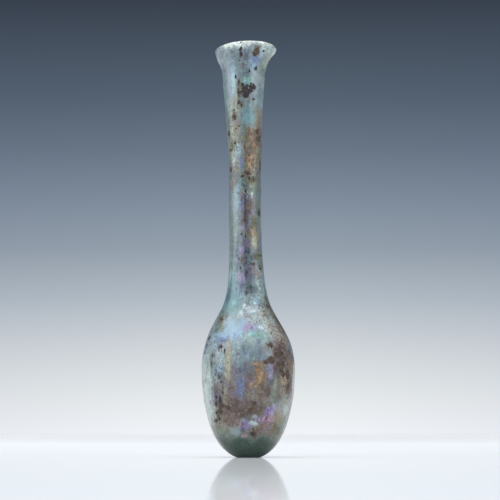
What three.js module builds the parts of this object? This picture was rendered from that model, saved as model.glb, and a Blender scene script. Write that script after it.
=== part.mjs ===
import * as THREE from "three";

// A Roman blown-glass unguentarium, a tall flask for scented oil, made as one hollow piece:
// an egg-shaped body on a small flat, a long slender neck that leans a little, a funnel mouth
// and a rounded lip. Millimetres, +Z up, origin at the centre of the flat that it stands on.

// Body
const BELLY_RADIUS = 14.65; // half the widest width
const BELLY_RISE = 27; // height of the widest ring
const FLAT_RADIUS = 3.5; // the flattened spot under the body
const BELLY_START = 15; // degrees above level where the belly leaves the flat
const SHOULDER_HEIGHT = 20.2; // upright half-axis of the ellipse that rounds the shoulder
const SHOULDER_SWEEP = 32; // degrees of that ellipse before the throat takes over

// Neck, funnel and lip, from the shoulder upwards
const THROAT_RISE = 41.9; // concave stretch from the shoulder to the neck
const NECK_RADIUS = 5.12;
const NECK_RISE = 5.3; // straight stretch of the neck
const FUNNEL_RISE = 38; // slow widening above the neck
const FUNNEL_RADIUS = 7.25; // at the top of the funnel
const FUNNEL_SLOPE = 0.11; // how fast the funnel widens at its top
const FLARE_RISE = 6; // quick widening from the funnel to the middle of the lip
const LIP_RADIUS = 9.9; // half the width over the lip
const LIP_BEAD = 1.05; // radius of the rounded edge of the lip
const LIP_TURN = -30; // degrees round the bead, from level, where the flare runs into it

// Glass thickness
const FLOOR_THICKNESS = 4.6; // at the centre of the base
const BELLY_WALL = 1.25;
const NECK_WALL = 1.2;
const MOUTH_WALL = 1.5; // at the top of the funnel

// Hand-made irregularity: how far the centre line moves along X, stretch by stretch
const SHOULDER_LEAN = -0.45;
const THROAT_LEAN = -0.6;
const FUNNEL_LEAN = -0.45;
const LIP_LEAN = 0.7;
const THROAT_LEAN_START = 0.15; // share of the throat's rise where its own lean takes over
const LIP_TILT = 2.7; // degrees, the +X side of the lip higher
const BODY_OVAL = 0.2; // the body's half-width along Y is this much less than along X

// Steps of the faceted surface
const SIDES = 44; // facets round the axis
const STEPS = {
  flat: 1, belly: 13, shoulder: 5, throat: 13, neck: 1, funnel: 7, flare: 4, bead: 9, floor: 9,
};

const rad = THREE.MathUtils.degToRad;
const smooth = THREE.MathUtils.smoothstep;
const at = (radius, height) => new THREE.Vector2(radius, height);

// The stations between the curves of the outer outline
const flatEdge = at(FLAT_RADIUS, 0);
const bellyWidest = at(BELLY_RADIUS, BELLY_RISE);
const shoulderSweep = rad(SHOULDER_SWEEP);
const shoulderTop = at(
  BELLY_RADIUS * Math.cos(shoulderSweep),
  BELLY_RISE + SHOULDER_HEIGHT * Math.sin(shoulderSweep),
);
const neckBottom = at(NECK_RADIUS, shoulderTop.y + THROAT_RISE);
const neckTop = at(NECK_RADIUS, neckBottom.y + NECK_RISE);
const funnelTop = at(FUNNEL_RADIUS, neckTop.y + FUNNEL_RISE);
const beadCentre = at(LIP_RADIUS - LIP_BEAD, funnelTop.y + FLARE_RISE);

const beadStart = rad(LIP_TURN);
const beadOuter = at(
  beadCentre.x + LIP_BEAD * Math.cos(beadStart),
  beadCentre.y + LIP_BEAD * Math.sin(beadStart),
);

// How far each curve's two handles reach, as shares of the curve's rise
const BELLY_PULLS = [0.37, 0.24];
const THROAT_PULLS = [0.32, 0.86];
const FUNNEL_PULLS = [0.15, 0.35];
const FLARE_PULLS = [0.2, 0.3];

// A curve between two points that leaves and arrives along the given directions
function blend(from, leaving, to, arriving, pulls) {
  const rise = to.y - from.y;
  const first = from.clone().addScaledVector(leaving, rise * pulls[0]);
  const last = to.clone().addScaledVector(arriving, -rise * pulls[1]);
  return new THREE.CubicBezierCurve(from, first, last, to);
}

const upright = at(0, 1);
const offFlat = at(Math.cos(rad(BELLY_START)), Math.sin(rad(BELLY_START)));
const offShoulder = at(
  -BELLY_RADIUS * Math.sin(shoulderSweep),
  SHOULDER_HEIGHT * Math.cos(shoulderSweep),
).normalize();
const offFunnel = at(FUNNEL_SLOPE, 1).normalize();
const ontoBead = at(-Math.sin(beadStart), Math.cos(beadStart));

const bellyCurve = () => blend(flatEdge, offFlat, bellyWidest, upright, BELLY_PULLS);
const throatCurve = () => blend(shoulderTop, offShoulder, neckBottom, upright, THROAT_PULLS);
const funnelCurve = () => blend(neckTop, upright, funnelTop, offFunnel, FUNNEL_PULLS);
const flareCurve = () => blend(funnelTop, offFunnel, beadOuter, ontoBead, FLARE_PULLS);

// Points of several curves in a row, each shared end given once
function pointsAlong(curves) {
  const points = [];
  for (const [curve, steps] of curves) {
    const next = curve.getSpacedPoints(steps);
    points.push(...(points.length ? next.slice(1) : next));
  }
  return points;
}

// Glass thickness at a height, for the walls above the widest ring
function wallAt(height) {
  const towardsNeck = smooth(height, BELLY_RISE, neckBottom.y);
  const towardsMouth = smooth(height, neckTop.y, funnelTop.y);
  const towardsLip = smooth(height, funnelTop.y, beadOuter.y);
  const neckWall = THREE.MathUtils.lerp(BELLY_WALL, NECK_WALL, towardsNeck);
  const mouthWall = THREE.MathUtils.lerp(neckWall, MOUTH_WALL, towardsMouth);
  return THREE.MathUtils.lerp(mouthWall, 2 * LIP_BEAD, towardsLip);
}

// The outer points moved inwards by the wall's thickness
function innerSide(outer) {
  return outer.map((point, i) => {
    const before = outer[Math.max(i - 1, 0)];
    const after = outer[Math.min(i + 1, outer.length - 1)];
    const along = after.clone().sub(before).normalize();
    return at(point.x - along.y * wallAt(point.y), point.y + along.x * wallAt(point.y));
  });
}

// The closed outline of the glass: up the outside, over the lip and down the inside
function outline() {
  const shoulder = new THREE.EllipseCurve(
    0, BELLY_RISE, BELLY_RADIUS, SHOULDER_HEIGHT, 0, shoulderSweep,
  );
  const bead = new THREE.EllipseCurve(
    beadCentre.x, beadCentre.y, LIP_BEAD, LIP_BEAD, beadStart, beadStart + Math.PI,
  );
  const floor = new THREE.EllipseCurve(
    0, BELLY_RISE, BELLY_RADIUS - BELLY_WALL, BELLY_RISE - FLOOR_THICKNESS, 0, -Math.PI / 2, true,
  );
  const low = pointsAlong([
    [new THREE.LineCurve(at(0, 0), flatEdge), STEPS.flat],
    [bellyCurve(), STEPS.belly],
  ]);
  const high = pointsAlong([
    [shoulder, STEPS.shoulder],
    [throatCurve(), STEPS.throat],
    [new THREE.LineCurve(neckBottom, neckTop), STEPS.neck],
    [funnelCurve(), STEPS.funnel],
    [flareCurve(), STEPS.flare],
  ]);
  const edge = bead.getSpacedPoints(STEPS.bead).slice(1, -1);
  const inner = innerSide(high).reverse();
  const bottom = floor.getSpacedPoints(STEPS.floor).slice(1);
  bottom.at(-1).x = 0;
  return [...low, ...high.slice(1), ...edge, ...inner, ...bottom];
}

// How far the centre line stands off along X at a height
function leanAt(height) {
  const throatStart = shoulderTop.y + THROAT_RISE * THROAT_LEAN_START;
  const lipStart = (funnelTop.y + beadCentre.y) / 2;
  return (
    SHOULDER_LEAN * smooth(height, (BELLY_RISE + shoulderTop.y) / 2, throatStart) +
    THROAT_LEAN * smooth(height, throatStart, neckBottom.y) +
    FUNNEL_LEAN * smooth(height, neckTop.y, funnelTop.y) +
    LIP_LEAN * smooth(height, lipStart, beadCentre.y)
  );
}

// Bends the neck, tilts the lip and makes the body a little oval, as a blown flask is
function loosen(geometry) {
  const place = geometry.getAttribute("position");
  for (let i = 0; i < place.count; i++) {
    const [x, y, z] = [place.getX(i), place.getY(i), place.getZ(i)];
    const inBody = smooth(z, 0, BELLY_RISE) * (1 - smooth(z, BELLY_RISE, neckBottom.y));
    const inLip = smooth(z, funnelTop.y, beadCentre.y);
    place.setXYZ(
      i,
      x + leanAt(z),
      y * (1 - (BODY_OVAL / BELLY_RADIUS) * inBody),
      z + x * Math.tan(rad(LIP_TILT)) * inLip,
    );
  }
  return geometry;
}

function flask() {
  const geometry = new THREE.LatheGeometry(outline(), SIDES);
  geometry.rotateX(Math.PI / 2);
  loosen(geometry);
  geometry.computeVertexNormals();
  const glass = new THREE.MeshStandardMaterial({
    color: "#8fa5a0",
    roughness: 0.25,
    metalness: 0.1,
    transparent: true,
    opacity: 0.85,
  });
  const mesh = new THREE.Mesh(geometry, glass);
  mesh.name = "flask";
  return mesh;
}

const unguentarium = new THREE.Group();
unguentarium.name = "unguentarium";
unguentarium.add(flask());

export default unguentarium;
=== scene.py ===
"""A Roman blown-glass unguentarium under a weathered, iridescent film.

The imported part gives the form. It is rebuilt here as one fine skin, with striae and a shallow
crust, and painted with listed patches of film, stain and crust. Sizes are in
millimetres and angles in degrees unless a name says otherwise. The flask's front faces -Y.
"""

import math
import random

import bpy
import numpy as np
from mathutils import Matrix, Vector, noise


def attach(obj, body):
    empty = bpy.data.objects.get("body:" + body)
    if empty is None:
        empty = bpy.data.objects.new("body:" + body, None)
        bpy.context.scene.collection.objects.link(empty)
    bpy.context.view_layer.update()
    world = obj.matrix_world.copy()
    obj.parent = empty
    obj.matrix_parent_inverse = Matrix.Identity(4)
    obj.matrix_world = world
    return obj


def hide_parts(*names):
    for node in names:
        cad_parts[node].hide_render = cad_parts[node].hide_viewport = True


MM = 0.001

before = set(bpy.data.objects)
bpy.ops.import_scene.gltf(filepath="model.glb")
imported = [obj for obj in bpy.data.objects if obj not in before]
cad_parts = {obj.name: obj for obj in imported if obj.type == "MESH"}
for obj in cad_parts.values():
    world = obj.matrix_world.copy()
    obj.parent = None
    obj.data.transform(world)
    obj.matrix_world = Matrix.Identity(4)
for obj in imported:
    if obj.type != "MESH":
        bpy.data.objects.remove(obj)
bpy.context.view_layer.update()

# Camera, low and close in front, looking a little up
CAMERA_DISTANCE = 430
CAMERA_RISE = 8
CAMERA_ASIDE = 0.53
CAMERA_LEVEL = 90  # from straight down
CAMERA_PITCH = 7.5  # above level
CAMERA_LENS = 99.1

# Mesh
AROUND = 240  # columns round the flask
OUTER_STEP = 0.4  # between rows outside
INNER_STEP = 2.6  # between rows inside
LIP_STEPS = 2  # steps inside the lip that finer ones take the place of
LIP_ROWS = 12  # rows over those steps, with the one on the crest
WELD_DIGITS = 6  # decimals of a metre to which packed vertices at one place agree
FRONT_SLACK = 0.02  # radians left of the front that still count as the front
TINY = 1e-12  # keeps a length from being zero

# Relief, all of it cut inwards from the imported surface
WAVE_DEPTH, WAVE_SIZE, WAVE_SEED = 0.07, 13, 3
STRIA_DEPTH, STRIA_SIZE, STRIA_SEED = 0.03, 1.1, 4
STRIA_STRETCH = 14  # how many times as tall as wide
CRUST_DEPTH = 0.06  # how far the film lies under the crust
CRUST_STEP = (-0.1, 0.2)  # nearness to a patch of crust between which the surface rises to it
FOOT_RISE = 1.5  # height over which the relief begins, so that the flat stays flat

# Films: thin coloured layers with a sheen
FILMS = {
    "frost": (190, 204, 200),
    "mist": (152, 170, 174),
    "pewter": (120, 130, 134),
    "sky": (158, 188, 206),
    "ice": (208, 220, 224),
    "white": (236, 242, 244),
    "blue": (116, 132, 164),
    "periwinkle": (134, 138, 176),
    "lilac": (172, 162, 196),
    "violet": (142, 118, 180),
    "mauve": (132, 114, 130),
    "plum": (92, 74, 92),
    "indigo": (70, 70, 98),
    "pink": (186, 146, 170),
    "rose": (148, 120, 120),
    "turquoise": (124, 166, 170),
    "teal": (96, 134, 138),
    "cyan": (156, 204, 208),
    "mint": (150, 188, 180),
    "slate": (84, 98, 112),
    "cream": (188, 184, 160),
    "linen": (156, 158, 140),
    "sand": (158, 144, 116),
    "gold": (168, 148, 106),
    "moss": (100, 110, 86),
    "sage": (126, 140, 124),
    "bottle": (32, 62, 50),
}

# Stains: dull brown clouds with a soft, speckled edge
STAINS = {
    "ash": (132, 124, 114),
    "umber": (104, 88, 76),
    "cocoa": (78, 62, 56),
    "tan": (148, 128, 98),
    "amber": (158, 128, 94),
    "copper": (130, 102, 78),
    "olive": (98, 94, 66),
    "ink": (76, 76, 94),
}

# Crusts: raised dull layers with a broken edge
CRUSTS = {
    "dark": (42, 37, 41),
    "brown": (76, 60, 50),
    "peat": (56, 56, 48),
}

# The film between the patches, by height: colour, and how clear the glass is
GROUND = [
    (0, (48, 96, 74), 0.4),
    (2.4, (42, 84, 66), 0.4),
    (4.2, (52, 90, 74), 0.35),
    (5.8, (114, 126, 114), 0.2),
    (9, (132, 128, 114), 0.12),
    (14, (126, 112, 102), 0.1),
    (22, (128, 120, 118), 0.08),
    (30, (142, 154, 158), 0.08),
    (36, (154, 174, 184), 0.1),
    (42, (162, 182, 188), 0.12),
    (48, (142, 168, 172), 0.2),
    (55, (130, 146, 152), 0.15),
    (62, (122, 134, 140), 0.12),
    (70, (134, 142, 142), 0.12),
    (80, (130, 140, 144), 0.12),
    (87, (118, 130, 128), 0.12),
    (95, (136, 142, 132), 0.1),
    (103, (132, 142, 138), 0.1),
    (110, (134, 150, 150), 0.12),
    (118, (138, 154, 158), 0.12),
    (124, (136, 152, 158), 0.1),
    (127.8, (152, 166, 168), 0.06),
    # The lip's crest is painted near white: partly the pale film, partly a painted highlight of the light
    # from above
    (129, (226, 232, 226), 0),
]

# Patches on the front, later over earlier: name, height, place across, half height, half width
WASHES = [
    ("frost", 28, -13.7, 6, 1.3),
    ("frost", 19.6, -12.8, 5, 2),
    ("frost", 13.6, -12, 3.4, 1.6),
    ("frost", 55, -5.4, 5, 1.4),
    ("frost", 56, 3.8, 7, 1.4),
    ("frost", 41, 6.8, 3.4, 2.4),
    ("linen", 37, 9.4, 3, 2.4),
    ("frost", 118, 5.8, 8, 1.4),
    ("frost", 127.2, 5.4, 1.4, 3.4),
    ("pewter", 126.2, -6.6, 1.8, 3),
    ("mist", 30.4, -3, 4, 5),
    ("frost", 50.6, 4.6, 3.4, 1.4),
    ("frost", 35, 0.6, 2.6, 3.4),
    ("umber", 27, 11, 9, 4),
    ("umber", 27, 13.9, 8, 1.4),
    ("rose", 37, 11, 4, 2),
    ("ash", 38, 12, 4, 1.4),
    ("sage", 48, 7.4, 6, 0.9),
    ("rose", 32, 9.6, 4, 2.6),
    ("umber", 15.4, -1, 4, 6.6),
    ("umber", 13, -5, 3, 3),
    ("mauve", 19, -3.6, 4, 3.6),
    ("ash", 19, 3, 4, 4),
    ("mauve", 24, 0.6, 5, 2),
    ("slate", 27, -3, 3.4, 2.6),
    ("mist", 28, -9.6, 6.4, 2.4),
    ("frost", 26, -12.2, 9, 1.2),
    ("periwinkle", 22, -2.2, 4, 1.3),
    ("mist", 33, 3.6, 3, 2.8),
    ("tan", 25, 3.4, 4.4, 2.3),
    ("sand", 22.4, 10.6, 3.6, 1.4),
    ("rose", 10.6, -5, 2.2, 3),
    ("sand", 10.6, 7.6, 2.8, 3),
    ("mist", 15.4, 11.4, 4, 2.6),
    # This sky wash and the one at 38.4 mm on the left shoulder are partly the film's pale blue and partly
    # a painted highlight
    ("sky", 39.4, -4.6, 4, 3.4),
    ("sky", 36.4, -8.4, 3, 3),
    ("tan", 97.6, 1.6, 6, 2.7),
    ("tan", 91.4, 1.6, 4.4, 2.5),
    ("ash", 86.4, 1.6, 2.6, 2.6),
    ("linen", 96, -4, 9, 2.2),
    ("sage", 94, -5.8, 9, 1),
    ("sage", 110, -6.6, 6, 0.9),
    ("mauve", 78.4, 0.6, 4, 1.5),
    ("plum", 77, -0.6, 7, 0.6),
    ("frost", 24, 14.3, 7, 0.5),
    ("mist", 118, -6.2, 9, 1.4),
    ("sky", 116, -4.6, 7, 1.2),
    ("slate", 125.2, -0.8, 2.6, 1.6),
    ("sky", 124, 2.4, 3, 2.6),
    ("mauve", 122.4, -1.8, 2, 1.2),
    ("mint", 117.6, -1, 1.6, 2.2),
    ("sage", 124, 5.6, 4, 1.4),
    ("mist", 113, 4, 5, 1.8),
    ("linen", 110, -4, 4, 1.6),
    ("turquoise", 106, 0.2, 3.4, 2.5),
    ("sand", 106.6, 3.4, 4.2, 0.9),
    ("mauve", 104.2, -3.8, 1.6, 1.6),
    ("linen", 102, -4.4, 4, 1.6),
    ("sky", 95, -3.2, 2.2, 1.1),
    ("blue", 91.6, -2.3, 2.2, 0.9),
    ("cream", 94.6, 2.8, 3, 0.9),
    ("sage", 92, 3.4, 6, 0.9),
    ("pewter", 87, -4.2, 3, 1.8),
    ("teal", 84.9, -1.6, 1.6, 1.3),
    ("sage", 84, 1, 3, 3),
    ("sky", 79, -3.8, 4.4, 1.1),
    ("mist", 76, -4.6, 7, 1.1),
    ("mauve", 81, -1.9, 1.6, 0.7),
    ("indigo", 78.4, -0.9, 4.6, 0.5),
    ("mauve", 77.4, 0.5, 2.6, 1.1),
    ("sage", 77, 3.2, 6, 1.2),
    ("mist", 67, -4.2, 7, 1.6),
    ("sage", 70, -5, 9, 0.7),
    ("cream", 67, 2.2, 3.6, 1.4),
    ("gold", 69.6, 2.2, 2.4, 1.3),
    ("cream", 66.6, 2.2, 2, 1.1),
    ("mauve", 66, -0.6, 1.8, 1.4),
    ("lilac", 63.4, -2.6, 2, 1.2),
    ("slate", 62.4, -0.6, 2.2, 0.9),
    ("pewter", 62, 1.8, 3, 1.2),
    ("sage", 61.6, 3.9, 4, 0.8),
    ("mauve", 56.6, -0.4, 3, 0.9),
    ("mauve", 57.4, 1.6, 2.6, 1.3),
    ("lilac", 55.4, -2.4, 2.6, 1.2),
    ("blue", 52.6, -2.4, 2, 1),
    ("turquoise", 53.4, -5.2, 4, 1),
    ("turquoise", 48, -4.6, 3.6, 2.2),
    ("teal", 50, -6, 3, 0.9),
    ("slate", 51.6, 1, 1.6, 2.4),
    ("mist", 53.6, 4.6, 3, 1.2),
    ("sky", 47.6, 2.4, 2, 1.2),
    ("ice", 45, 1.4, 1.6, 2.2),
    ("cream", 43.6, 4, 2.4, 1.4),
    ("sage", 44, -7, 2.4, 2),
    ("mist", 42, -4, 2.6, 2),
    ("turquoise", 45.8, -5.6, 2.4, 1.8),
    ("mist", 42.4, 2.4, 2, 2.4),
    ("sage", 39.4, -8.4, 1.6, 2),
    # Partly the film's pale blue and partly a painted highlight on the left shoulder
    ("sky", 38.4, -5, 2.8, 3.6),
    ("blue", 35.6, -8, 1.2, 2),
    ("lilac", 39.4, 0.2, 1.6, 1.8),
    ("mint", 36.8, 4, 1.8, 3.2),
    ("cream", 37.8, 8, 2.6, 1.6),
    ("mist", 33.4, -2.6, 2.4, 3),
    ("mist", 31.6, 4.2, 2.4, 2.6),
    ("mist", 31.6, 0.4, 2.6, 2.2),
    ("pewter", 32, 4.6, 2, 2),
    ("mist", 30, -2.4, 3, 1.6),
    ("mist", 29, -9, 5, 1.4),
    ("blue", 26.6, -9.2, 2, 1.1),
    # The next three rows, a cream and linen strip about 6 to 7 mm left of the middle, are a painted
    # reflection of a light's straight edge
    ("linen", 27.4, -6.2, 7.4, 1.6),
    ("cream", 29, -6.2, 6, 0.9),
    ("linen", 19.4, -7, 4, 0.8),
    ("mauve", 25.6, -4.4, 1.8, 1.3),
    ("pewter", 26, 1, 3, 1.2),
    ("blue", 21, -2.4, 3.8, 1.2),
    ("lilac", 25.6, 6.8, 2.8, 0.8),
    ("amber", 27.2, 3.3, 2, 1.3),
    ("amber", 23.4, 3.7, 2.4, 1.7),
    ("linen", 22, 8.3, 3, 0.8),
    ("sage", 18, 7.6, 2, 1.3),
    ("lilac", 14.4, 9.2, 2.6, 2),
    ("sand", 11.6, 8.4, 1.8, 2),
    ("violet", 13.6, 6, 1.6, 1.5),
    ("pink", 11.2, 5.4, 1.5, 2),
    ("linen", 16, 11.4, 3.4, 2),
    ("sand", 11.4, 9, 2.4, 2.2),
    ("sage", 9.4, 10.2, 2.4, 1.4),
    ("rose", 9, 4.8, 2, 2.2),
    ("linen", 9.8, -7.6, 1.4, 1.8),
    ("mist", 7.8, -3.8, 1.8, 2),
    ("sage", 7.6, -7.8, 1.4, 1.8),
]

STAIN_PATCHES = [
    ("umber", 127, 2.6, 1.5, 1.2),
    ("ink", 125.8, -2.4, 1.4, 0.7),
    ("umber", 117.2, -3, 1.4, 0.6),
    ("olive", 114, -2.8, 2.2, 0.8),
    ("cocoa", 114.2, -0.4, 1.6, 1.4),
    ("olive", 110.2, -2.6, 1.4, 0.7),
    ("olive", 106.4, -4.4, 1.6, 0.8),
    ("ash", 105.6, 4.2, 1.6, 0.5),
    ("ash", 103, -3.6, 1.4, 1.2),
    ("tan", 101, 1.6, 2, 2.4),
    ("cocoa", 100, 3.6, 3, 0.9),
    ("umber", 101.6, 0, 1.6, 0.5),
    ("umber", 94.6, 3.8, 5, 0.5),
    ("cocoa", 98.6, 3.8, 2.4, 0.9),
    ("olive", 99.2, -0.7, 2.4, 0.6),
    ("tan", 97, 1.8, 2.4, 2),
    ("copper", 96, 1.4, 4.6, 1.3),
    ("umber", 99.6, 3.5, 3, 1),
    ("umber", 95.4, 0.6, 2, 1),
    ("tan", 91.6, 0.6, 2.6, 1.4),
    ("amber", 92, 1, 1.6, 0.8),
    ("tan", 90.4, 1.8, 2.2, 0.9),
    ("olive", 93, 3.2, 2.8, 0.6),
    ("umber", 94, -0.9, 4, 0.35),
    ("umber", 88.2, -0.6, 0.9, 1.3),
    ("olive", 86.4, 1.4, 1, 1.6),
    ("ash", 90, 2.6, 2.6, 1),
    ("olive", 97, -5.2, 2, 0.6),
    ("olive", 91, -5.6, 2.4, 0.5),
    ("ash", 85.6, -5, 2, 0.7),
    ("ash", 89.6, -4.2, 2, 1),
    ("umber", 78, 0.4, 2.2, 0.9),
    ("cocoa", 74.6, -1, 3, 0.4),
    ("umber", 73.2, -1.9, 1, 0.7),
    ("ink", 76.4, 3.6, 1.4, 0.5),
    ("olive", 73, 1.8, 2, 0.9),
    ("umber", 69, 0.2, 1.4, 0.9),
    ("umber", 61.2, -1.9, 1.2, 0.6),
    ("olive", 62, 2.8, 1.2, 0.8),
    ("ash", 56.2, 3.1, 1, 1),
    ("olive", 59, 3.8, 1.6, 0.6),
    ("olive", 48.2, 5.8, 2, 0.5),
    ("umber", 45.6, 6.6, 2.4, 0.9),
    ("olive", 43, 8.2, 2, 0.9),
    ("umber", 40.6, 9.6, 2.4, 1),
    ("ash", 39.6, 7.4, 2.4, 1.4),
    ("ash", 43.8, 5.6, 2, 1.2),
    ("olive", 41.6, -8.8, 2, 1.3),
    ("ash", 36.4, 11.2, 2.4, 1.2),
    ("ash", 36.4, 8.6, 2, 1.6),
    ("umber", 33.8, 6.9, 1.3, 1),
    ("umber", 31.6, 9.6, 3, 1.8),
    ("cocoa", 31.4, 9.4, 1.8, 1.6),
    ("umber", 29.6, 12, 3.4, 1.2),
    ("cocoa", 29.4, 6.5, 1, 1.8),
    ("cocoa", 29.6, 10.6, 2, 1),
    ("cocoa", 26.8, 9.9, 2.8, 1.5),
    ("copper", 27.4, 13.3, 2, 0.7),
    ("umber", 25.6, 11.6, 3, 1.4),
    ("cocoa", 23.6, 12.6, 2.4, 0.9),
    ("tan", 22.4, 11.2, 2.2, 1.1),
    ("umber", 20.6, 12.2, 1.6, 1.4),
    ("ash", 20, 10.2, 1.6, 1.2),
    ("copper", 26.4, 3, 2, 1),
    ("amber", 23.6, 3.6, 1.6, 1.2),
    ("tan", 28, 1.6, 0.9, 1.2),
    ("umber", 24.6, 0.6, 1.4, 0.9),
    ("tan", 21.6, 1.4, 0.6, 1.6),
    ("umber", 20.8, -0.6, 1.8, 0.8),
    ("umber", 20, 4.4, 2.2, 1.5),
    ("cocoa", 19.8, 5.9, 1.8, 0.5),
    ("ash", 18.4, 1.4, 1.6, 1.6),
    ("umber", 17.8, 3.8, 1.6, 1.2),
    ("umber", 21, -5.3, 1.6, 0.9),
    ("umber", 20.6, -9.8, 1.8, 0.9),
    ("ink", 17.4, -9.4, 2.2, 1.1),
    ("umber", 14, -8.4, 1.4, 1.2),
    ("umber", 17.4, -6.2, 1.4, 1.1),
    ("cocoa", 16.4, -4, 1.8, 2.2),
    ("umber", 14.6, -5.6, 1.8, 1.8),
    ("cocoa", 14, -2.6, 2, 2.4),
    ("umber", 13.6, -0.4, 1.8, 1.8),
    ("cocoa", 15.6, 1.8, 2.2, 1.7),
    ("umber", 14.2, 3.8, 1.4, 1.5),
    ("umber", 12.4, -4.4, 1, 1.4),
    ("umber", 10.8, -6, 1.3, 1.8),
    ("umber", 12.8, -8.8, 1.4, 1),
    ("cocoa", 7.3, 1.6, 1.2, 1.1),
    ("umber", 8.6, 3.4, 1.2, 1),
    ("olive", 8.6, 8.8, 1.4, 1.2),
    ("ash", 9.6, -8.4, 1, 1.4),
    ("ink", 31, -11, 1.2, 0.5),
    ("ink", 28, -11.2, 1.6, 0.5),
    ("ink", 33.2, -8.8, 1.2, 0.9),
    ("ink", 24.4, -8.8, 1, 0.8),
]

FILM_PATCHES = [
    ("blue", 124.4, 2.6, 1, 1.6),
    ("slate", 123.4, -0.3, 0.9, 0.3),
    ("frost", 112.6, -3.2, 1, 0.5),
    ("lilac", 112.4, 0.8, 0.7, 0.6),
    ("frost", 117, -5, 3, 0.5),
    ("cream", 88.4, 1.1, 0.6, 0.7),
    ("frost", 92, -4.4, 1.2, 0.5),
    ("mist", 95.2, -3.4, 1.4, 0.8),
    ("slate", 84.6, -1.4, 0.7, 0.8),
    ("cream", 95, 2.5, 1.2, 0.4),
    ("periwinkle", 77.9, -2.3, 1.6, 0.7),
    ("slate", 82, -3.2, 0.4, 0.4),
    ("plum", 76.4, 0.4, 1.3, 0.7),
    ("ice", 81.2, 1.2, 1, 0.3),
    ("lilac", 71.2, -1.9, 0.9, 0.9),
    ("cream", 66.8, 1.8, 1.4, 0.7),
    ("violet", 62.8, -3, 0.7, 0.5),
    ("slate", 63, -0.6, 1.2, 0.9),
    ("teal", 60.9, 0.8, 1.2, 0.7),
    ("pewter", 60.8, -0.6, 1.4, 0.7),
    ("plum", 61.6, 1.7, 0.8, 0.6),
    ("mauve", 57.7, 1.6, 0.9, 0.7),
    ("plum", 57, -0.6, 1.4, 0.7),
    ("lilac", 56.4, -1.9, 0.7, 0.5),
    ("sky", 51.6, -3.1, 1.6, 0.5),
    ("slate", 50.6, -0.5, 0.9, 0.9),
    ("teal", 51, 2.1, 0.4, 0.8),
    ("blue", 49.6, -3.3, 0.9, 0.8),
    ("turquoise", 49.2, -4.4, 1.6, 1.1),
    ("cyan", 47.3, -4.4, 0.6, 1),
    ("slate", 47, -0.3, 0.5, 1),
    # This white patch and the white one two rows down are painted glints
    ("white", 44.6, 1.4, 0.5, 1.6),
    ("ice", 47.4, 2, 0.9, 0.7),
    ("white", 46.2, -1.2, 0.7, 0.5),
    ("pink", 46.4, 3.1, 0.5, 0.5),
    ("ice", 43.6, -2.4, 1, 1),
    ("mauve", 42.8, -0.6, 0.8, 0.8),
    ("ice", 43, 3.4, 0.6, 1),
    ("violet", 39.8, 0.9, 0.9, 1.2),
    ("lilac", 39.4, -0.7, 1.1, 0.8),
    ("ice", 39.5, 4, 0.7, 0.9),
    ("cyan", 37.4, 1.7, 0.9, 1),
    ("mint", 36.6, 5, 0.9, 1.2),
    ("slate", 35.6, 3.4, 0.3, 0.8),
    ("violet", 36, -6.3, 0.7, 0.25),
    ("violet", 36, -3.6, 0.2, 1.1),
    ("periwinkle", 35.3, -9.9, 0.5, 0.5),
    ("mauve", 31.3, -3.3, 0.8, 0.9),
    ("moss", 30.8, -4.6, 0.7, 0.5),
    ("mauve", 27.8, -1, 1.1, 0.6),
    ("cream", 25.4, 4.2, 1, 0.3),
    ("periwinkle", 26.4, 6.8, 1.2, 0.4),
    ("blue", 22.6, -2.2, 1.4, 0.5),
    ("indigo", 22.8, 7.1, 0.9, 0.6),
    ("rose", 23.6, 5.1, 0.9, 0.5),
    ("slate", 18.4, -1.4, 1.4, 0.6),
    ("sky", 26.8, -8.9, 1, 0.8),
    ("cream", 21.4, -8.4, 1.2, 0.3),
    ("lilac", 18.6, -10.4, 0.8, 0.6),
    ("violet", 14.2, 6.4, 1.1, 1.1),
    ("lilac", 13.3, 7.2, 0.8, 0.8),
    ("pink", 11.6, 5.9, 0.9, 1.3),
    ("rose", 13.4, -8.7, 0.6, 0.9),
    ("ice", 11.2, 1.6, 1.5, 1.9),
    ("sky", 11.2, -0.8, 1.2, 1.3),
    ("ice", 10, 2.4, 0.5, 0.9),
    ("lilac", 11.4, 3.2, 0.8, 0.7),
    ("rose", 10.8, -3.6, 0.9, 1.2),
    ("violet", 9, -1, 1.3, 1.5),
    ("indigo", 8, -1.8, 0.8, 0.8),
    ("pink", 6.6, -1.4, 0.8, 1),
    ("gold", 8.4, 2, 0.3, 0.6),
    ("mauve", 8.7, 5.8, 0.6, 0.6),
    ("rose", 7.3, 6.6, 0.6, 0.7),
    ("frost", 14.4, 11.6, 1.2, 0.8),
]

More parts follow.
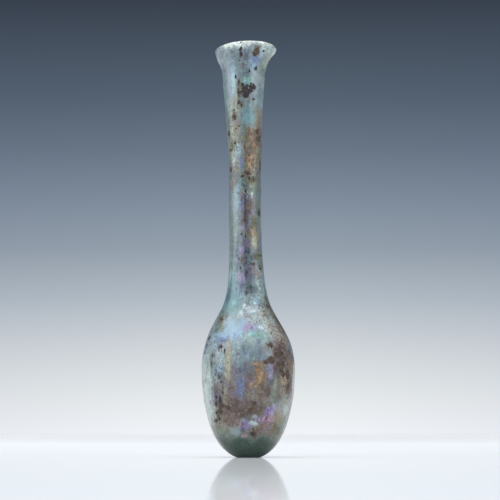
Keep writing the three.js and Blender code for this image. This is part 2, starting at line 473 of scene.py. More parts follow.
CRUST_PATCHES = [
    ("brown", 129.2, -2.4, 0.2, 0.3),
    ("brown", 129.1, 1.4, 0.2, 0.3),
    ("brown", 127, 2.7, 1.1, 0.8),
    ("dark", 127.3, 5.1, 0.4, 0.4),
    ("dark", 127.3, -2.4, 0.4, 0.5),
    ("dark", 125.8, -2.3, 0.6, 0.6),
    ("peat", 124.1, -2.9, 0.6, 0.4),
    ("dark", 121.9, 2.4, 0.7, 0.5),
    ("dark", 120.8, 0.4, 0.5, 0.25),
    ("dark", 119, -4, 0.8, 0.3),
    ("peat", 117, -3, 0.8, 0.3),
    ("peat", 113.6, -3.1, 1.1, 0.3),
    ("dark", 116.5, -1.8, 0.5, 0.6),
    ("dark", 114.3, -0.7, 1.9, 1.4),
    ("dark", 115, 0.8, 1.1, 1),
    ("dark", 115.6, 1.9, 0.9, 0.7),
    ("dark", 112.8, -0.9, 0.7, 1.2),
    ("dark", 116.6, 0.8, 0.4, 0.3),
    ("peat", 112, 1.6, 0.5, 0.6),
    ("peat", 110.9, -2.9, 0.5, 0.5),
    ("peat", 109.9, -2.2, 0.6, 0.4),
    ("dark", 109.2, -3.5, 0.6, 0.15),
    ("peat", 108.5, -4.6, 0.3, 0.4),
    ("peat", 106.6, -4.5, 0.6, 0.5),
    ("peat", 105.6, -4.2, 0.6, 0.4),
    ("brown", 103.3, -3, 0.5, 0.4),
    ("brown", 102.6, -3.9, 0.4, 0.3),
    ("peat", 101.4, -6.1, 0.8, 0.4),
    ("brown", 99.4, 3.4, 1, 0.7),
    ("brown", 101.8, 3, 0.8, 0.4),
    ("peat", 98, -4.3, 0.4, 0.4),
    ("dark", 96, -5.7, 0.6, 0.3),
    ("brown", 96.4, -1.2, 1.2, 0.25),
    ("brown", 92.6, 1.6, 0.4, 0.3),
    ("brown", 94.2, 0.3, 0.5, 0.5),
    ("dark", 90, -5.6, 1.2, 0.35),
    ("peat", 90.6, 3.8, 2.4, 0.25),
    ("brown", 88.3, -0.3, 0.6, 0.8),
    ("brown", 88.6, -1.1, 0.5, 0.4),
    ("dark", 87.3, -2, 0.4, 0.6),
    ("peat", 86.7, 0.4, 0.5, 0.3),
    ("peat", 86.6, 1.6, 0.7, 0.3),
    ("dark", 73.4, -1, 1.1, 0.35),
    ("dark", 82.6, -0.9, 0.8, 0.3),
    ("peat", 75.8, 3.6, 0.8, 0.4),
    ("dark", 69, -2.2, 0.4, 0.3),
    ("dark", 68.5, -0.9, 0.9, 0.35),
    ("dark", 61.4, -3, 0.7, 0.2),
    ("dark", 58.3, -2.5, 0.5, 0.25),
    ("peat", 62.5, 3.8, 0.4, 0.5),
    ("peat", 59.6, 1.4, 0.3, 0.9),
    ("peat", 58.3, 3.7, 0.4, 0.6),
    ("peat", 50.6, -0.6, 0.4, 0.6),
    ("brown", 46.4, 6, 0.8, 0.5),
    ("peat", 42.3, -8.2, 0.6, 0.7),
    ("brown", 42, 9.3, 1.2, 0.3),
    ("dark", 36.7, -12, 0.6, 0.4),
    ("dark", 34.2, -12.9, 0.8, 0.2),
    ("dark", 32.2, -13.3, 0.8, 0.2),
    ("brown", 33.9, 6.8, 0.9, 0.7),
    ("brown", 29.6, 7, 0.8, 1.3),
    ("brown", 28.8, 5.4, 0.6, 0.6),
    ("brown", 31.6, 10.2, 0.8, 0.5),
    ("brown", 29.8, 11.4, 0.9, 0.6),
    ("brown", 31, 8.8, 0.9, 0.8),
    ("brown", 28, 10.6, 1.2, 0.9),
    ("brown", 25.2, 10.8, 0.8, 0.7),
    ("brown", 28.2, 9, 1, 0.6),
    ("brown", 26.2, 10.2, 0.9, 0.9),
    ("brown", 25.6, 12.2, 1.6, 0.5),
    ("dark", 30, 13.9, 1.8, 0.2),
    ("brown", 21.6, 12.2, 1.2, 0.4),
    ("dark", 33.6, -8.4, 0.4, 0.4),
    ("dark", 32, -7.3, 0.8, 0.3),
    ("dark", 30.8, -11, 0.7, 0.25),
    ("dark", 28.3, -11.2, 0.9, 0.25),
    ("dark", 24.4, -8.7, 0.4, 0.5),
    ("dark", 22.8, -8.2, 0.6, 0.4),
    ("peat", 21, -7.8, 0.8, 0.3),
    ("dark", 19.6, -7.8, 0.8, 0.25),
    ("dark", 18.4, -9.8, 0.7, 0.25),
    ("dark", 17.2, -8.5, 1.2, 0.4),
    ("dark", 16.2, -9.8, 0.6, 0.4),
    ("brown", 15.4, -8, 0.8, 0.9),
    ("peat", 13.8, -8.7, 0.9, 0.7),
    ("brown", 15, -6.2, 0.7, 0.9),
    ("brown", 12.6, -2, 0.7, 0.8),
    ("brown", 16.4, 1.9, 0.8, 0.9),
    ("brown", 14.4, 1, 0.8, 0.7),
    ("dark", 13.6, -9.7, 0.4, 0.4),
    ("peat", 12, -9, 1.1, 0.6),
    ("peat", 11.2, -9.8, 0.5, 0.7),
    ("peat", 10.7, -10, 0.3, 0.6),
    ("brown", 7.2, 1.4, 0.7, 0.7),
]

# Stretches where the glass is clearer: height, turn from the front, half height, half width, how clear
CLEAR = [
    (24, -84, 17, 3.6, 0.35), (24, 96, 15, 3, 0.35), (80, -80, 30, 1, 0.3), (80, 82, 30, 0.9, 0.3),
]

# Stretches of small marks, and calm ones with less grain: height, turn, half height, half width
SPECKLED = [
    (29, -45, 9, 3.6), (17, -40, 5, 3), (96, -35, 9, 2.6), (60, 10, 7, 3), (123, 0, 5, 4),
    (14, 0, 6, 12), (45, 45, 9, 5), (26, 50, 9, 5), (92, 20, 7, 3), (36, 45, 4, 4),
]
# Stretches of pale flecks, partly flecks of the film and partly painted glints
FLECKED = [
    (94, -45, 8, 2.6), (104, -40, 5, 2), (46, 20, 4, 4), (38, 40, 4, 3.6), (26, 50, 8, 3),
    (30, -40, 8, 2), (82, 10, 4, 2),
]
CRACKLED = [
    (48, 4, 4, 2.6), (42.6, 14, 2.6, 4), (38, 32, 3, 4.6), (92, -45, 3, 1.6),
    (34, -60, 3, 2),
]
CALM = [
    (40, -25, 4, 5), (118, -45, 10, 3.4), (114, 42, 10, 2.4), (106, 5, 3.4, 2.8), (22, -72, 13, 3.4),
    (14, 56, 4, 4), (49, -45, 6, 3), (33, 16, 3, 4), (80, -45, 14, 2), (7, -20, 3, 5),
]

# The sides and the back: the front's patches carried round by quarter turns, with seeded changes, among
# them copies of the painted reflection, glints and highlights
BACK_SEED = 4
BACK_SHIFT = 5  # how far a patch may move up or down
BACK_TURN = 12  # degrees that a patch may move round
RENAMED = 0.35  # share of the patches that take another colour
DROPPED = {"wash": 0.4, "stain": 0.4, "patch": 0.5, "crust": 0.7}  # share that is left out
FOOT, LIP = 5, 128  # heights that no patch moves across
FRONT_TURN = 84  # degrees to each side of the front that they keep out of

# Noise that makes the patches' edges uneven: rows of a weight, a size, a seed and a stretch
RAGGED = [(1.5, 1.3, 1, 1), (0.8, 0.55, 2, 1)]
DRIFTING = [(2.2, 3.5, 5, 1.6)]
SEED_STEPS = (17.3, 5.1, 11.7)  # how far one seed's noise lies from the next along X, Y and Z

# How a layer fades in: the nearness to a patch where it begins, and where it is full
WASH_FADE = (-0.35, 0.6)
LAYER_FADE = (-0.45, 0.15)
CLEAR_FADE = (0, 0.3)
MARKS_FADE = (-0.2, 0.7)
FAR = -1.0  # nearness where no patch is near
WASH_COVER = 0.85  # share of the colour under it that the middle of a wash replaces
GROUND_DRIFT = 1.2  # how strongly the drifting noise moves the ground's heights
EDGE_SHARE = 0.97  # of the radius: the farthest across that a patch's middle lies
LEAST_FACING = 0.35  # least cosine of its turn that a patch's seen width is divided by


def linear(colour):
    """An sRGB colour in 0 to 255 as linear light."""
    share = np.asarray(colour, float) / 255
    return np.where(share <= 0.04045, share / 12.92, ((share + 0.055) / 1.055) ** 2.4)


def smooth(low, high, value):
    """0 at low, 1 at high and an S-shaped rise between."""
    share = np.clip((value - low) / (high - low), 0, 1)
    return share * share * (3 - 2 * share)


def bumps(points, size, seed, stretch=1):
    """Smooth noise, mostly within -0.5 to 0.5, with bumps about size wide and stretch times as tall."""
    shift = Vector([step * seed for step in SEED_STEPS])
    flat = (points / (np.array([1, 1, stretch]) * size * MM)).reshape(-1, 3)
    return np.array([noise.noise(Vector(p) + shift) for p in flat]).reshape(points.shape[:-1])


def layered(points, rows):
    """Bumps of several sizes added up, from rows of a weight, a size, a seed and a stretch."""
    return sum(weight * bumps(points, size, seed, stretch) for weight, size, seed, stretch in rows)


def rings_of(cad):
    """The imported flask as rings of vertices, from the pole under it over the lip to the pole inside."""
    corners = np.array([v.co for v in cad.data.vertices])
    places, same = np.unique(np.round(corners, WELD_DIGITS), axis=0, return_inverse=True)
    same = same.reshape(-1)
    beside = {i: set() for i in range(len(places))}
    for edge in cad.data.edges:
        a, b = (int(same[v]) for v in edge.vertices)
        beside[a].add(b)
        beside[b].add(a)
    pole = int(np.argmin(places[:, 2] + np.hypot(places[:, 0], places[:, 1])))
    rings, seen, ring = [], {pole}, {pole}
    while ring:
        rings.append(places[sorted(ring)])
        ring = {n for v in ring for n in beside[v]} - seen
        seen |= ring
    sides = len(rings[1])
    filled = [in_order(ring) if len(ring) > 1 else np.repeat(ring, sides, axis=0) for ring in rings]
    return np.array(filled)


def in_order(ring):
    """The ring's vertices by their angle round its middle, the front one first."""
    away = ring - ring.mean(axis=0)
    turn = np.arctan2(away[:, 0], -away[:, 1])
    return ring[np.argsort((turn + FRONT_SLACK) % (2 * np.pi))]


def finer_round(rings, count):
    """The same closed rings with count vertices each, by their Fourier series."""
    waves = np.fft.rfft(rings, axis=1)
    return np.fft.irfft(waves, n=count, axis=1) * (count / rings.shape[1])


def finer_along(rings, steps):
    """Rings at the distances that steps gives along the outline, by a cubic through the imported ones."""
    gaps = np.linalg.norm(np.diff(rings, axis=0), axis=2).mean(axis=1)
    along = np.concatenate([[0], np.cumsum(gaps)])
    slopes = np.gradient(rings, along, axis=0)
    wanted = steps(along)
    i = np.clip(np.searchsorted(along, wanted) - 1, 0, len(along) - 2)
    gap = (along[i + 1] - along[i])[:, None, None]
    t = (wanted - along[i])[:, None, None] / gap
    return (
        (2 * t**3 - 3 * t**2 + 1) * rings[i]
        + (t**3 - 2 * t**2 + t) * gap * slopes[i]
        + (3 * t**2 - 2 * t**3) * rings[i + 1]
        + (t**3 - t**2) * gap * slopes[i + 1]
    )


def fine_grid(cad):
    """The flask as a grid of rows and columns, and the row of the lip's crest."""
    rings = rings_of(cad)
    crest = int(np.argmax(rings[:, :, 2].mean(axis=1)))

    def steps(along):
        lip, end = along[crest], along[-1]
        outside = np.linspace(0, lip, round(lip / (OUTER_STEP * MM)))
        inside = np.linspace(lip, end, round((end - lip) / (INNER_STEP * MM)))
        near_lip = np.linspace(lip, inside[LIP_STEPS], LIP_ROWS)
        return np.concatenate([outside, near_lip[1:], inside[LIP_STEPS + 1:]])

    grid = finer_along(finer_round(rings, AROUND), steps)
    grid[:, :, 2] = np.maximum(grid[:, :, 2], 0)
    return grid, int(np.argmax(grid[:, :, 2].mean(axis=1)))


def outward(grid):
    """The unit normals of the grid's points."""
    along = np.gradient(grid, axis=0)
    around = np.roll(grid, -1, axis=1) - np.roll(grid, 1, axis=1)
    normal = np.cross(around, along)
    return normal / np.maximum(np.linalg.norm(normal, axis=2, keepdims=True), TINY)


class Skin:
    """The flask's surface, with the heights and turns that patches are set out by."""

    def __init__(self, cad):
        self.grid, self.crest = fine_grid(cad)
        middle = self.grid.mean(axis=1)
        away = self.grid - middle[:, None, :]
        self.outside = (np.arange(len(self.grid)) <= self.crest)[:, None]
        self.height = self.grid[:, :, 2] / MM
        self.turn = np.arctan2(away[:, :, 0], -away[:, :, 1])
        self.radius = np.hypot(away[:, :, 0], away[:, :, 1]) / MM
        rows = slice(1, self.crest + 1)
        self.heights = middle[rows, 2] / MM
        self.radii = self.radius[rows].mean(axis=1)
        self.leans = middle[rows, 0] / MM
        self.ragged = layered(self.grid, RAGGED)
        self.drifting = layered(self.grid, DRIFTING)

    def seen_from_front(self, height, across, half_width):
        """The turn of a place seen from the front, and the half width along the surface there."""
        radius = np.interp(height, self.heights, self.radii)
        share = (across - np.interp(height, self.heights, self.leans)) / radius
        turn = math.asin(max(-EDGE_SHARE, min(EDGE_SHARE, share)))
        return turn, half_width / max(math.cos(turn), LEAST_FACING)

    def nearness(self, height, turn, half_height, half_width, ragged=0.35, drifting=0.25):
        """1 in the middle of a patch, about 0 on its uneven edge, and less outside."""
        round_it = (self.turn - turn + np.pi) % (2 * np.pi) - np.pi
        up = (self.height - height) / half_height
        aside = round_it * self.radius / half_width
        near = 1 - np.hypot(up, aside) + ragged * self.ragged + drifting * self.drifting
        return np.where(self.outside, near, FAR)


def front_rows(skin):
    """The patches of the front, as (layer, name, height, turn, half width, half height)."""
    layers = {"wash": WASHES, "stain": STAIN_PATCHES, "patch": FILM_PATCHES, "crust": CRUST_PATCHES}
    return [
        (layer, name, height, *skin.seen_from_front(height, across, half_width), half_height)
        for layer, rows in layers.items()
        for name, height, across, half_height, half_width in rows
    ]


def back_rows(front):
    """The front's patches on the sides and the back, moved about and some in another colour."""
    draw = random.Random(BACK_SEED)
    palettes = {"wash": list(FILMS), "stain": list(STAINS), "patch": list(FILMS), "crust": list(CRUSTS)}
    rows = []
    for quarters in (1, 2, 3):
        for layer, name, height, turn, half_width, half_height in front:
            height += draw.uniform(-1, 1) * min(BACK_SHIFT, abs(height - FOOT), abs(LIP - height))
            turn += quarters * math.pi / 2 + draw.uniform(-1, 1) * math.radians(BACK_TURN)
            if draw.random() < RENAMED:
                name = draw.choice(palettes[layer])
            at_back = math.cos(turn) < math.cos(math.radians(FRONT_TURN))
            if draw.random() > DROPPED[layer] and at_back:
                rows.append((layer, name, height, turn, half_width, half_height))
    return rows


def paint(skin):
    """The colours and covers of the surface's layers."""
    heights = [row[0] for row in GROUND]
    ground = np.array([linear(row[1]) for row in GROUND])
    level = skin.height + GROUND_DRIFT * skin.drifting
    film = np.stack([np.interp(level, heights, ground[:, k]) for k in range(3)], axis=-1)
    clear = np.interp(level, heights, [row[2] for row in GROUND])
    painted = {"film": film}
    undercoats = {"patch": FILMS["mist"], "stain": STAINS["umber"], "crust": CRUSTS["brown"]}
    for layer, colour in undercoats.items():
        painted[layer] = np.zeros_like(film) + linear(colour)
        painted[layer + "_cover"] = np.full(skin.height.shape, FAR)

    front = front_rows(skin)
    colours = {**FILMS, **STAINS, **CRUSTS}
    for layer, name, height, turn, half_width, half_height in back_rows(front) + front:
        near = skin.nearness(height, turn, half_height, half_width)
        if layer == "wash":
            film += (linear(colours[name]) - film) * (WASH_COVER * smooth(*WASH_FADE, near))[:, :, None]
            continue
        reach = smooth(*LAYER_FADE, near)[:, :, None]
        painted[layer] += (linear(colours[name]) - painted[layer]) * reach
        painted[layer + "_cover"] = np.maximum(painted[layer + "_cover"], near)

    for height, turn, half_height, half_width, most in CLEAR:
        place = (height, math.radians(turn), half_height, half_width)
        near = skin.nearness(*place, ragged=0.15, drifting=0.1)
        clear = np.maximum(clear, most * smooth(*CLEAR_FADE, near))
    painted["clear"] = clear
    stretches = {"specks": SPECKLED, "flecks": FLECKED, "crackle": CRACKLED, "calm": CALM}
    for name, rows in stretches.items():
        painted[name] = np.minimum(sum(spread(skin, *row) for row in rows), 1)
    return painted


def spread(skin, height, turn, half_height, half_width):
    """How much of a stretch of small marks a place has."""
    near = skin.nearness(height, math.radians(turn), half_height, half_width)
    return smooth(*MARKS_FADE, near)


def relief(skin, cover):
    """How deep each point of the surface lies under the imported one."""
    wave = WAVE_DEPTH * (0.5 + bumps(skin.grid, WAVE_SIZE, WAVE_SEED))
    stria = STRIA_DEPTH * (0.5 + bumps(skin.grid, STRIA_SIZE, STRIA_SEED, STRIA_STRETCH))
    bare = CRUST_DEPTH * (1 - smooth(*CRUST_STEP, cover))
    return np.where(skin.outside, np.maximum(wave + stria + bare, 0), 0)


def skin_mesh(skin, cover):
    """A closed mesh over the grid, with one vertex at each pole."""
    depth = relief(skin, cover) * smooth(0, FOOT_RISE, skin.height)
    grid = skin.grid - outward(skin.grid) * (depth * MM)[:, :, None]
    points = on_vertices(grid)
    columns = np.arange(AROUND)
    beside = (columns + 1) % AROUND
    faces = []
    rings = len(grid) - 2
    for row in range(rings - 1):
        start = 1 + row * AROUND
        a, b = start + columns, start + beside
        faces += np.column_stack([a, b, b + AROUND, a + AROUND]).tolist()
    last = len(points) - 1
    top = last - AROUND
    faces += np.column_stack([np.zeros(AROUND, int), 1 + beside, 1 + columns]).tolist()
    faces += np.column_stack([np.full(AROUND, last), top + columns, top + beside]).tolist()
    mesh = bpy.data.meshes.new("flask_skin")
    mesh.from_pydata(points.tolist(), [], faces)
    mesh.shade_smooth()
    return mesh


def on_vertices(values):
    """A grid of values in the order of the mesh's vertices."""
    return np.concatenate([values[:1, 0], values[1:-1].reshape(-1, *values.shape[2:]), values[-1:, 0]])


def store(mesh, name, values):
    """Keeps numbers or linear colours on the mesh's vertices."""
    values = on_vertices(values)
    if values.ndim == 2:
        attribute = mesh.attributes.new(name, "FLOAT_COLOR", "POINT")
        opaque = np.column_stack([values, np.ones(len(values))])
        attribute.data.foreach_set("color", opaque.astype(np.float32).ravel())
    else:
        attribute = mesh.attributes.new(name, "FLOAT", "POINT")
        attribute.data.foreach_set("value", values.astype(np.float32))


class Nodes:
    """Short calls for the nodes of one material or world."""

    def __init__(self, tree):
        self.tree = tree

    def node(self, kind, inputs=None, **settings):
        """A node with its settings, and each input set to a value or linked to an output."""
        made = self.tree.nodes.new(kind)
        for name, value in settings.items():
            setattr(made, name, value)
        for name, value in (inputs or {}).items():
            self.feed(made.inputs[name], value)
        return made

    def feed(self, socket, value):
        """Sets an input to a value, or links it to an output."""
        if isinstance(value, bpy.types.NodeSocket):
            self.tree.links.new(value, socket)
        else:
            socket.default_value = value

    def math(self, operation, a, b=0.0, clamp=False):
        """The result of an operation on one number or two."""
        return self.node("ShaderNodeMath", {0: a, 1: b}, operation=operation, use_clamp=clamp).outputs[0]

    def times(self, product, *others):
        """Numbers multiplied together."""
        for other in others:
            product = self.math("MULTIPLY", product, other)
        return product

    def stored(self, name, output="Fac"):
        """What the mesh's vertices hold under a name."""
        return self.node("ShaderNodeAttribute", attribute_name=name).outputs[output]

    def grain(self, size, detail, stretch, seed, roughness, distortion):
        """Noise with bumps about size wide, and stretch times as tall."""
        place = self.node("ShaderNodeTexCoord").outputs["Object"]
        inputs = {"Vector": place, "Location": (seed * MM,) * 3, "Scale": (1, 1, 1 / stretch)}
        moved = self.node("ShaderNodeMapping", inputs).outputs["Vector"]
        inputs = {"Vector": moved, "Scale": 1 / (size * MM), "Detail": detail, "Roughness": roughness}
        inputs["Distortion"] = distortion
        return self.node("ShaderNodeTexNoise", inputs).outputs["Fac"]

    def rise(self, value, low, high, out_low=0.0, out_high=1.0):
        """The value mapped smoothly from low and high to two others."""
        inputs = {"Value": value, "From Min": low, "From Max": high}
        inputs.update({"To Min": out_low, "To Max": out_high})
        return self.node("ShaderNodeMapRange", inputs, interpolation_type="SMOOTHSTEP").outputs["Result"]

    def mixed(self, factor, a, b, blend="MIX"):
        """Two colours mixed, by the node's sockets for colours."""
        made = self.node("ShaderNodeMix", data_type="RGBA", blend_type=blend)
        for place, value in ((0, factor), (6, a), (7, b)):
            self.feed(made.inputs[place], value)
        return made.outputs[2]

    def between(self, factor, a, b):
        """Two numbers mixed."""
        inputs = {"Value": factor, "To Min": a, "To Max": b}
        return self.node("ShaderNodeMapRange", inputs).outputs["Result"]

    def ramp(self, value, stops):
        """A colour by value, from rows of a place and an sRGB colour."""
        made = self.node("ShaderNodeValToRGB", {0: value})
        while len(made.color_ramp.elements) < len(stops):
            made.color_ramp.elements.new(0.5)
        for stop, (place, colour) in zip(made.color_ramp.elements, stops):
            stop.position = place
            stop.color = rgba(colour)
        return made.outputs["Color"]

    def grey(self, value):
        """A number as a colour."""
        return self.node("ShaderNodeCombineColor", {0: value, 1: value, 2: value}).outputs[0]

    def covered(self, layer, grain, weight, low, high, most):
        """Where a painted layer lies, its edge broken up by noise."""
        broken = self.times(self.math("SUBTRACT", grain, 0.5), weight)
        return self.rise(self.math("ADD", self.stored(layer + "_cover"), broken), low, high, 0, most)

    def marked(self, film, grain, stretches, gain, low, high, most, colour):
        """The film with marks where the noise is high, and more of them in their own stretches."""
        raised = self.math("ADD", grain, self.times(self.stored(stretches), gain))
        return self.mixed(self.times(self.rise(raised, low, high), most), film, rgba(colour))

    def traced(self, film, grain, level, width, most, colour):
        """The film with lines along one level of the noise, in the crackled stretches."""
        line = self.rise(self.math("ABSOLUTE", self.math("SUBTRACT", grain, level)), width, 0.0)
        cover = self.times(line, self.times(self.stored("crackle"), most))
        return self.mixed(cover, film, rgba(colour))


def rgba(colour):
    """An sRGB colour in 0 to 255 as an opaque linear one."""
    return (*linear(colour), 1)


# Noises in the glass: size, detail, stretch, seed, roughness, distortion
FINE = (0.55, 5, 1.3, 0, 0.65, 0)
STREAKS = (0.7, 4, 8, 30, 0.5, 0)
BROAD = (2.6, 4, 1.8, 60, 0.5, 0)
TORN = (1.1, 6, 1, 90, 0.62, 0)
CLOUDY = (1.2, 7, 1.3, 200, 0.72, 0)
TINTS = (1.6, 6, 1.6, 120, 0.66, 0)
DOTS = (0.8, 5, 1.2, 150, 0.6, 0)
LINT = (0.6, 4, 1.8, 170, 0.6, 0)
RIDGES = (1, 2, 1, 220, 0.5, 1.6)
CLODS = (0.9, 5, 1, 180, 0.5, 0)

# Broken edges: the noise's weight, the nearness where a layer begins and is full, its greatest cover
PATCH_BREAKS = (2.8, -0.35, 0.5, 0.7)
STAIN_BREAKS = (4.6, -0.35, 0.45, 0.85)
CRUST_BREAKS = (2.6, -0.05, 0.2, 1)

# Mottles and grains: two levels of a noise, and the brightness or cover at each
FINE_MOTTLES = (0.3, 0.7, 0.66, 1.3)
STREAK_MOTTLES = (0.3, 0.7, 0.86, 1.12)
BROAD_MOTTLES = (0.3, 0.7, 0.84, 1.12)
CLOUDY_MOTTLES = (0.35, 0.65, 0.84, 1.14)
TORN_STAIN = (0.35, 0.65, 0.6, 1.35)
FINE_STAIN = (0.3, 0.7, 0.7, 1.3)
PALE_EARTH = (0.5, 0.72, 0, 0.45)
DARK_EARTH = (0.5, 0.64, 0, 0.8)
PALE_EARTH_COLOUR = (150, 130, 108)
DARK_EARTH_COLOUR = (38, 31, 31)

# Calm stretches: how strong the tints are, elsewhere and there, and the share of the mottles they lose
TINTED, CALM_TINTED = 0.6, 0.35
CALM_LOSS = 0.7

# Small marks and lines over the film
SPECKS = {"gain": 0.12, "low": 0.66, "high": 0.72, "most": 0.8, "colour": (60, 56, 54)}
# Pale flecks, partly painted glints
FLECKS = {"gain": 0.14, "low": 0.66, "high": 0.74, "most": 0.5, "colour": (196, 198, 186)}
SHADOWS = {"level": 0.59, "width": 0.05, "most": 1, "colour": (84, 94, 98)}
SQUIGGLES = {"level": 0.5, "width": 0.06, "most": 0.7, "colour": (222, 230, 230)}

# Sheen of the film and of the dull crust, and how far a stain is as dull as crust
FILM_ROUGHNESS, DULL_ROUGHNESS = 0.3, 0.78
FILM_COAT, DULL_COAT = 0.6, 0.05
FILM_METALLIC = 0.1
COAT_ROUGHNESS = 0.15
GLASS_IOR = 1.5
STAIN_DULLNESS = 0.7

# Bump, with the fine grain and the stains as shares of the crust's height
BUMP_DEPTH, BUMP_STRENGTH = 0.1, 0.6
FINE_BUMP, STAIN_BUMP = 0.5, 0.25

# Tints that drift over the film, by the noise's level
HUES = [
    (0.3, (140, 116, 160)),
    (0.4, (114, 128, 170)),
    (0.5, (128, 128, 128)),
    (0.6, (118, 152, 142)),
    (0.7, (166, 150, 116)),
]


def weathered_glass():
    """Film with mottles, flecks and cracks, under brown stains and a crust that breaks up."""
    material = bpy.data.materials.new("weathered_glass")
    material.use_nodes = True
    shader = material.node_tree.nodes["Principled BSDF"]
    n = Nodes(material.node_tree)

    fine = n.grain(*FINE)
    torn = n.grain(*TORN)
    cloudy = n.grain(*CLOUDY)
    calm = n.stored("calm")

    # Where each painted layer lies
    patched = n.covered("patch", cloudy, *PATCH_BREAKS)
    stained = n.covered("stain", cloudy, *STAIN_BREAKS)
    crusted = n.covered("crust", torn, *CRUST_BREAKS)

    # Film: the painted colours with a drift of hues, light and dark mottles
    hues = n.ramp(n.grain(*TINTS), HUES)
    film = n.mixed(patched, n.stored("film", "Color"), n.stored("patch", "Color"))
    film = n.mixed(n.between(calm, TINTED, CALM_TINTED), film, hues, "SOFT_LIGHT")
    mottle = n.times(
        n.rise(fine, *FINE_MOTTLES),
        n.rise(n.grain(*STREAKS), *STREAK_MOTTLES),
        n.rise(n.grain(*BROAD), *BROAD_MOTTLES),
        n.rise(cloudy, *CLOUDY_MOTTLES),
    )
    mottle = n.between(n.times(calm, CALM_LOSS), mottle, 1.0)
    film = n.mixed(1.0, film, n.grey(mottle), "MULTIPLY")

    # Brown stains with dark and light grains
    grains = n.times(n.rise(torn, *TORN_STAIN), n.rise(fine, *FINE_STAIN))
    stain = n.mixed(1.0, n.stored("stain", "Color"), n.grey(grains), "MULTIPLY")
    film = n.mixed(stained, film, stain)

    # Small dark specks and pale flecks, thicker in their own stretches; there the pale flecks are partly
    # painted glints
    film = n.marked(film, n.grain(*DOTS), "specks", **SPECKS)
    film = n.marked(film, n.grain(*LINT), "flecks", **FLECKS)

    # Pale squiggles of lifted film, dark along one side
    ridges = n.grain(*RIDGES)
    film = n.traced(film, ridges, **SHADOWS)
    film = n.traced(film, ridges, **SQUIGGLES)

    # Crust: earthy, with pale and dark grains
    earth = n.mixed(n.rise(fine, *PALE_EARTH), n.stored("crust", "Color"), rgba(PALE_EARTH_COLOUR))
    earth = n.mixed(n.rise(n.grain(*CLODS), *DARK_EARTH), earth, rgba(DARK_EARTH_COLOUR))
    n.feed(shader.inputs["Base Color"], n.mixed(crusted, film, earth))

    # Sheen: glossy and a little see-through where the film is bare, dull under stain and crust
    dull = n.math("MAXIMUM", crusted, n.times(stained, STAIN_DULLNESS))
    bare = n.math("SUBTRACT", 1.0, dull)
    n.feed(shader.inputs["Roughness"], n.between(dull, FILM_ROUGHNESS, DULL_ROUGHNESS))
    n.feed(shader.inputs["Metallic"], n.times(bare, FILM_METALLIC))
    n.feed(shader.inputs["Transmission Weight"], n.times(bare, n.stored("clear")))
    n.feed(shader.inputs["Coat Weight"], n.between(dull, FILM_COAT, DULL_COAT))
    shader.inputs["Coat Roughness"].default_value = COAT_ROUGHNESS
    shader.inputs["IOR"].default_value = GLASS_IOR

    # Bump
    height = n.math("ADD", n.times(fine, FINE_BUMP), n.times(stained, STAIN_BUMP))
    height = n.math("ADD", height, crusted)
    inputs = {"Height": height, "Strength": BUMP_STRENGTH, "Distance": BUMP_DEPTH * MM}
    bump = n.node("ShaderNodeBump", inputs)
    n.feed(shader.inputs["Normal"], bump.outputs["Normal"])
    return material


def flask():
    """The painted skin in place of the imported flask."""
    skin = Skin(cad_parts["flask"])
    painted = paint(skin)
    mesh = skin_mesh(skin, painted["crust_cover"])
    for name, values in painted.items():
        store(mesh, name, values)
    mesh.materials.append(weathered_glass())
    piece = bpy.data.objects.new("flask_skin", mesh)
    bpy.context.scene.collection.objects.link(piece)
    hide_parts("flask")
    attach(piece, "root")


# Table: white, painted lighter next to the flask and darker from about 240 to 700 mm out, then lighter
# again, painted light and shade that evens out the lamps' falloff and the flask's shadow; with a gloss in
# front of the flask at a low angle
FLOOR_HALF = 3000
# Painted light and shade on the table: colours by distance from the flask
FLOOR_PAINTED_LIGHT = [  # colours by distance from the flask
    (0, (250, 253, 255)),
    (240, (240, 244, 249)),
    (700, (236, 239, 243)),
    (2400, (248, 250, 252)),
]
GLOSS_LEAST, GLOSS_MOST = 0.05, 0.64
GLOSS_COLOUR = (249, 252, 255)
FLOOR_ROUGHNESS = 0.035
GLOSSY_FROM, GLOSSY_TO = 0.8, 0.97  # facing between which the gloss rises
GLOSS_MIDDLE = (0, -60, 0)
GLOSS_REACH = 620  # how far from its middle the gloss has gone


def floor():
    """The table, as a large plane under the flask."""
    bpy.ops.mesh.primitive_plane_add(size=2 * FLOOR_HALF * MM)
    plane = bpy.context.object
    plane.name = "floor"
    material = bpy.data.materials.new("floor")
    material.use_nodes = True
    material.node_tree.nodes.remove(material.node_tree.nodes["Principled BSDF"])
    n = Nodes(material.node_tree)
    place = n.node("ShaderNodeTexCoord").outputs["Object"]
    away = n.node("ShaderNodeVectorMath", {0: place}, operation="LENGTH").outputs["Value"]
    far = n.math("DIVIDE", away, FLOOR_PAINTED_LIGHT[-1][0] * MM, clamp=True)
    # The ramp paints light and shade on the table by distance from the flask
    colour = n.ramp(far, [(distance / FLOOR_PAINTED_LIGHT[-1][0], colour) for distance, colour in FLOOR_PAINTED_LIGHT])
    dull = n.node("ShaderNodeBsdfDiffuse", {"Color": colour}).outputs[0]
    gloss = n.node("ShaderNodeBsdfGlossy").outputs[0]
    gloss.node.inputs["Color"].default_value = rgba(GLOSS_COLOUR)
    gloss.node.inputs["Roughness"].default_value = FLOOR_ROUGHNESS
    facing = n.node("ShaderNodeLayerWeight").outputs["Facing"]
    low = n.rise(facing, GLOSSY_FROM, GLOSSY_TO, GLOSS_LEAST, GLOSS_MOST)
    middle = [c * MM for c in GLOSS_MIDDLE]
    beside = n.node("ShaderNodeVectorMath", {0: place, 1: middle}, operation="DISTANCE").outputs["Value"]
    share = n.times(low, n.rise(beside, 0, GLOSS_REACH * MM, 1.0, 0.0))
    both = n.node("ShaderNodeMixShader", {0: share, 1: dull, 2: gloss}).outputs[0]
    n.feed(material.node_tree.nodes["Material Output"].inputs["Surface"], both)
    plane.data.materials.append(material)


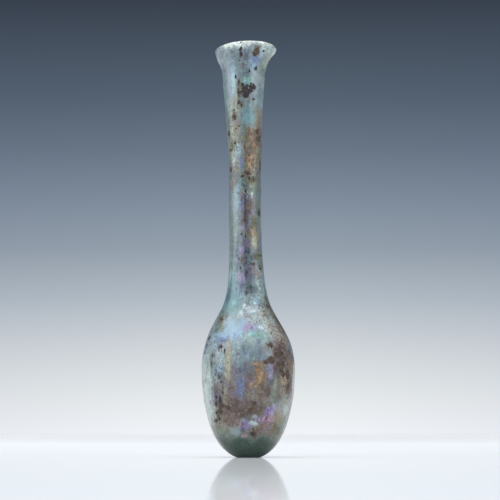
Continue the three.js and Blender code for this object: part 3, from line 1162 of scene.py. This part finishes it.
# Backdrop by elevation: white at the horizon, slate above, and a bright ceiling overhead
SKY = [
    (0, (240, 243, 247)),
    (1.3, (230, 234, 236)),
    (2.1, (221, 227, 229)),
    (3.8, (203, 208, 214)),
    (5.4, (178, 188, 197)),
    (7.5, (148, 160, 172)),
    (9.6, (127, 140, 156)),
    (11.6, (106, 119, 135)),
    (13.7, (85, 99, 114)),
    (17.7, (57, 65, 78)),
    (38, (62, 70, 84)),
    (50, (250, 250, 250)),
]
SKY_TOP = 90
CEILING = 1.7  # how much brighter than white the ceiling is
CEILING_FROM, CEILING_TO = 38, 50

# A little darker to the sides of the flask, by the sine of the angle from straight behind it
SIDES = [(0.06, (255, 255, 255)), (0.18, (247, 247, 249)), (0.4, (255, 255, 255))]


def backdrop():
    """A world that is coloured by elevation, with only a slight change from side to side."""
    world = bpy.data.worlds.new("backdrop")
    bpy.context.scene.world = world
    world.use_nodes = True
    n = Nodes(world.node_tree)
    way = n.node("ShaderNodeTexCoord").outputs["Generated"]
    parts = n.node("ShaderNodeSeparateXYZ", {0: way})
    elevation = n.math("ARCSINE", parts.outputs["Z"])
    angle = n.math("DIVIDE", elevation, math.radians(SKY_TOP), clamp=True)
    sky = n.ramp(angle, [(degrees / SKY_TOP, colour) for degrees, colour in SKY])
    sky = n.mixed(1.0, sky, n.ramp(n.math("ABSOLUTE", parts.outputs["X"]), SIDES), "MULTIPLY")
    background = world.node_tree.nodes["Background"]
    n.feed(background.inputs["Color"], sky)
    bright = n.rise(angle, CEILING_FROM / SKY_TOP, CEILING_TO / SKY_TOP, 1.0, CEILING)
    n.feed(background.inputs["Strength"], bright)


# Lamps: the place of the middle, the width and height, and the radiance
SOFTBOXES = {
    "left_panel": ((-1260, -660, 830), (2580, 1380), 1.4),
    "right_fill": ((1260, -780, 680), (1260, 1140), 1.5),
}
AIM_HEIGHT = 65  # middle of the flask


def softbox(name, place, size, radiance):
    """A rectangular light facing the middle of the flask, unseen by the camera."""
    light = bpy.data.lights.new(name, "AREA")
    light.shape = "RECTANGLE"
    light.size, light.size_y = (s * MM for s in size)
    light.energy = radiance * math.pi * light.size * light.size_y
    lamp = bpy.data.objects.new(name, light)
    lamp.location = Vector(place) * MM
    aim = Vector((0, 0, AIM_HEIGHT * MM)) - lamp.location
    lamp.rotation_euler = aim.to_track_quat("-Z", "Y").to_euler()
    lamp.visible_camera = False
    bpy.context.scene.collection.objects.link(lamp)


def camera():
    """The view from the front, level but for its pitch."""
    data = bpy.data.cameras.new("camera")
    data.lens = CAMERA_LENS
    made = bpy.data.objects.new("camera", data)
    made.location = Vector((CAMERA_ASIDE, -CAMERA_DISTANCE, CAMERA_RISE)) * MM
    made.rotation_euler = (math.radians(CAMERA_LEVEL + CAMERA_PITCH), 0, 0)
    bpy.context.scene.collection.objects.link(made)
    bpy.context.scene.camera = made


camera()
backdrop()
floor()
for lamp_name, (lamp_place, lamp_size, lamp_radiance) in SOFTBOXES.items():
    softbox(lamp_name, lamp_place, lamp_size, lamp_radiance)
flask()
bpy.context.scene.view_settings.view_transform = "Standard"
